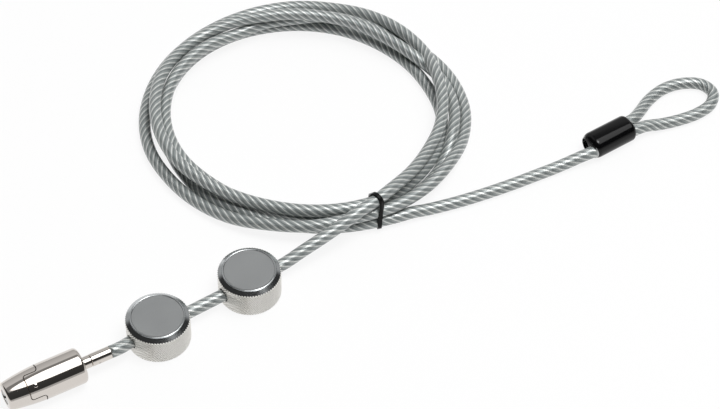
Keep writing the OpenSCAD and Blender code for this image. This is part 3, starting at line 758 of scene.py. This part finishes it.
for stage, rounding, segments in (("section", 5.5, 16), ("ends", 3.6, 10)):
    if "bevel_weight_edge" not in sleeve.data.attributes:
        sleeve.data.attributes.new("bevel_weight_edge", "FLOAT", "EDGE")
    weights = sleeve.data.attributes["bevel_weight_edge"].data
    for edge in sleeve.data.edges:
        a, b = (sleeve.data.vertices[i].co for i in edge.vertices)
        lengthwise = abs(a.x - b.x) > 1
        if stage == "section":
            weights[edge.index].value = 1.0 if lengthwise else 0.0
        else:
            weights[edge.index].value = 0.0 if lengthwise else 1.0 if a.x < 1 else 0.6
    step = sleeve.modifiers.new(stage, "BEVEL")
    step.limit_method = "WEIGHT"
    step.width = rounding
    step.segments = segments
    bpy.ops.object.modifier_apply(modifier=stage)
for side in (-1, 1):
    tool = bar(leg_r, -2, 28, 48)
    tool.data.transform(Matrix.Translation((0, side * leg_r, 0)))
    cut(sleeve, tool)
# Glossy black ABS, with the soft ripple of a mould and faint handling haze.
gloss, t = new_finish("glossy_black_abs")
spot = add(t, "TexCoord", {}, {}).outputs["Object"]
ripple = noise(t, spot, 170.0, 1.0)
haze = noise(t, spot, 900.0, 3.0)
colour = shade(t, haze, "#040405", "#0b0b0c")
rough = spread(t, haze, 0.08, 0.16)
relief = bump(t, ripple, 0.1, 0.1)
surface(t, {"Base Color": colour, "Roughness": rough, "Normal": relief, "Specular IOR Level": 0.25})
sleeve.data.materials.append(gloss)
soften(sleeve, 40)
settle(sleeve, Matrix.Translation(Vector(sleeve_at) * mm), "cable", "eye_sleeve")

# ---------------------------------------------------------------- coil tie
# A thin black nylon strap, drawn tight round the five strands where the coil begins.
strap_nylon, t = new_finish("satin_black_nylon_strap")
spot = add(t, "TexCoord", {}, {}).outputs["Object"]
grain = noise(t, spot, 2400.0, 3.0)
colour = shade(t, grain, "#050505", "#0f0f0f")
rough = spread(t, grain, 0.26, 0.4)
relief = bump(t, grain, 0.3, 0.03)
surface(t, {"Base Color": colour, "Roughness": rough, "Normal": relief, "Specular IOR Level": 0.15})
give(nodes["coil_tie"], strap_nylon)

# ---------------------------------------------------------------- floor and light
# A white table that mostly shows its own even light, so that it vanishes, and still takes the shadow.
bpy.ops.object.select_all(action="DESELECT")
bpy.ops.mesh.primitive_plane_add(size=8.0, location=(0.1, 0.0, -0.0001))
floor = bpy.context.object
floor.name = "floor"
white, t = new_finish("white_table")
path = add(t, "LightPath", {}, {})
seen = calc(t, "MAXIMUM", path.outputs["Is Camera Ray"], path.outputs["Is Glossy Ray"])
seen = calc(t, "MAXIMUM", seen, path.outputs["Is Transmission Ray"])
own_light = 0.88
seen = calc(t, "MULTIPLY", seen, own_light)
diffuse = add(t, "BsdfDiffuse", {}, {"Color": "#f4f4f4"})
glow = add(t, "Emission", {}, {"Color": "#ffffff", "Strength": 1.0})
mixed = add(t, "MixShader", {}, {0: seen, 1: diffuse.outputs[0], 2: glow.outputs[0]})
add(t, "OutputMaterial", {}, {0: mixed.outputs[0]})
floor.data.materials.append(white)

# The studio: a pale room, dark in front and round the tripod, so that bright metal has something to show,
# under a big soft box.
world = bpy.data.worlds.new("studio")
bpy.context.scene.world = world
world.use_nodes = True
t = world.node_tree
t.nodes.clear()
look = add(t, "TexCoord", {}, {})
part = add(t, "SeparateXYZ", {}, {0: look.outputs["Generated"]})


def towards(azimuth, elevation):
    """A unit vector, from degrees round from +X and up from the table."""
    a, e = math.radians(azimuth), math.radians(elevation)
    return (math.cos(a) * math.cos(e), math.sin(a) * math.cos(e), math.sin(e))


def facing(azimuth, elevation, low, high):
    """1 where the room is seen near that direction and 0 away from it, by the cosine between."""
    along = add(t, "VectorMath", {"operation": "DOT_PRODUCT"},
                {0: look.outputs["Generated"], 1: towards(azimuth, elevation)})
    return spread(t, along.outputs["Value"], 0.0, 1.0, low, high, smooth=True)


# brightness by height behind, the black front, a dark rim, and the big soft box overhead
box_at = (-30, 72)
sky = spread(t, part.outputs[2], 0.5, 0.8, 0.0, 1.0)
low_down = spread(t, part.outputs[2], 1.0, 0.0, 0.93, 0.955, smooth=True)
lifted = spread(t, part.outputs[2], 0.0, 1.0, 0.15, 0.23, smooth=True)
front = calc(t, "MAXIMUM", facing(-75, 0, 0.05, 0.3), facing(-165, 0, 0.1, 0.35))
front = calc(t, "MULTIPLY", front, low_down)
front = calc(t, "MULTIPLY", front, lifted)
rim = calc(t, "MULTIPLY", facing(*box_at, 0.7, 0.77), 0.7)
dark = calc(t, "MAXIMUM", front, rim)
keep = spread(t, dark, 1.0, 0.07)
level = calc(t, "MULTIPLY", sky, keep)
level = calc(t, "MULTIPLY_ADD", facing(*box_at, 0.885, 0.9), 2.2, level)
back = add(t, "Background", {}, {"Color": "#ffffff", "Strength": level})
add(t, "OutputWorld", {}, {0: back.outputs[0]})
bpy.ops.object.light_add(type="AREA", location=Vector(towards(*box_at)) * 1.3)
lamp = bpy.context.object
lamp.name = "soft_box"
lamp.data.size = 0.5
lamp.data.energy = 7.0
lamp.rotation_mode = "QUATERNION"
lamp.rotation_quaternion = (Vector((0.1, 0.0, 0.0)) - lamp.location).to_track_quat("-Z", "Y")
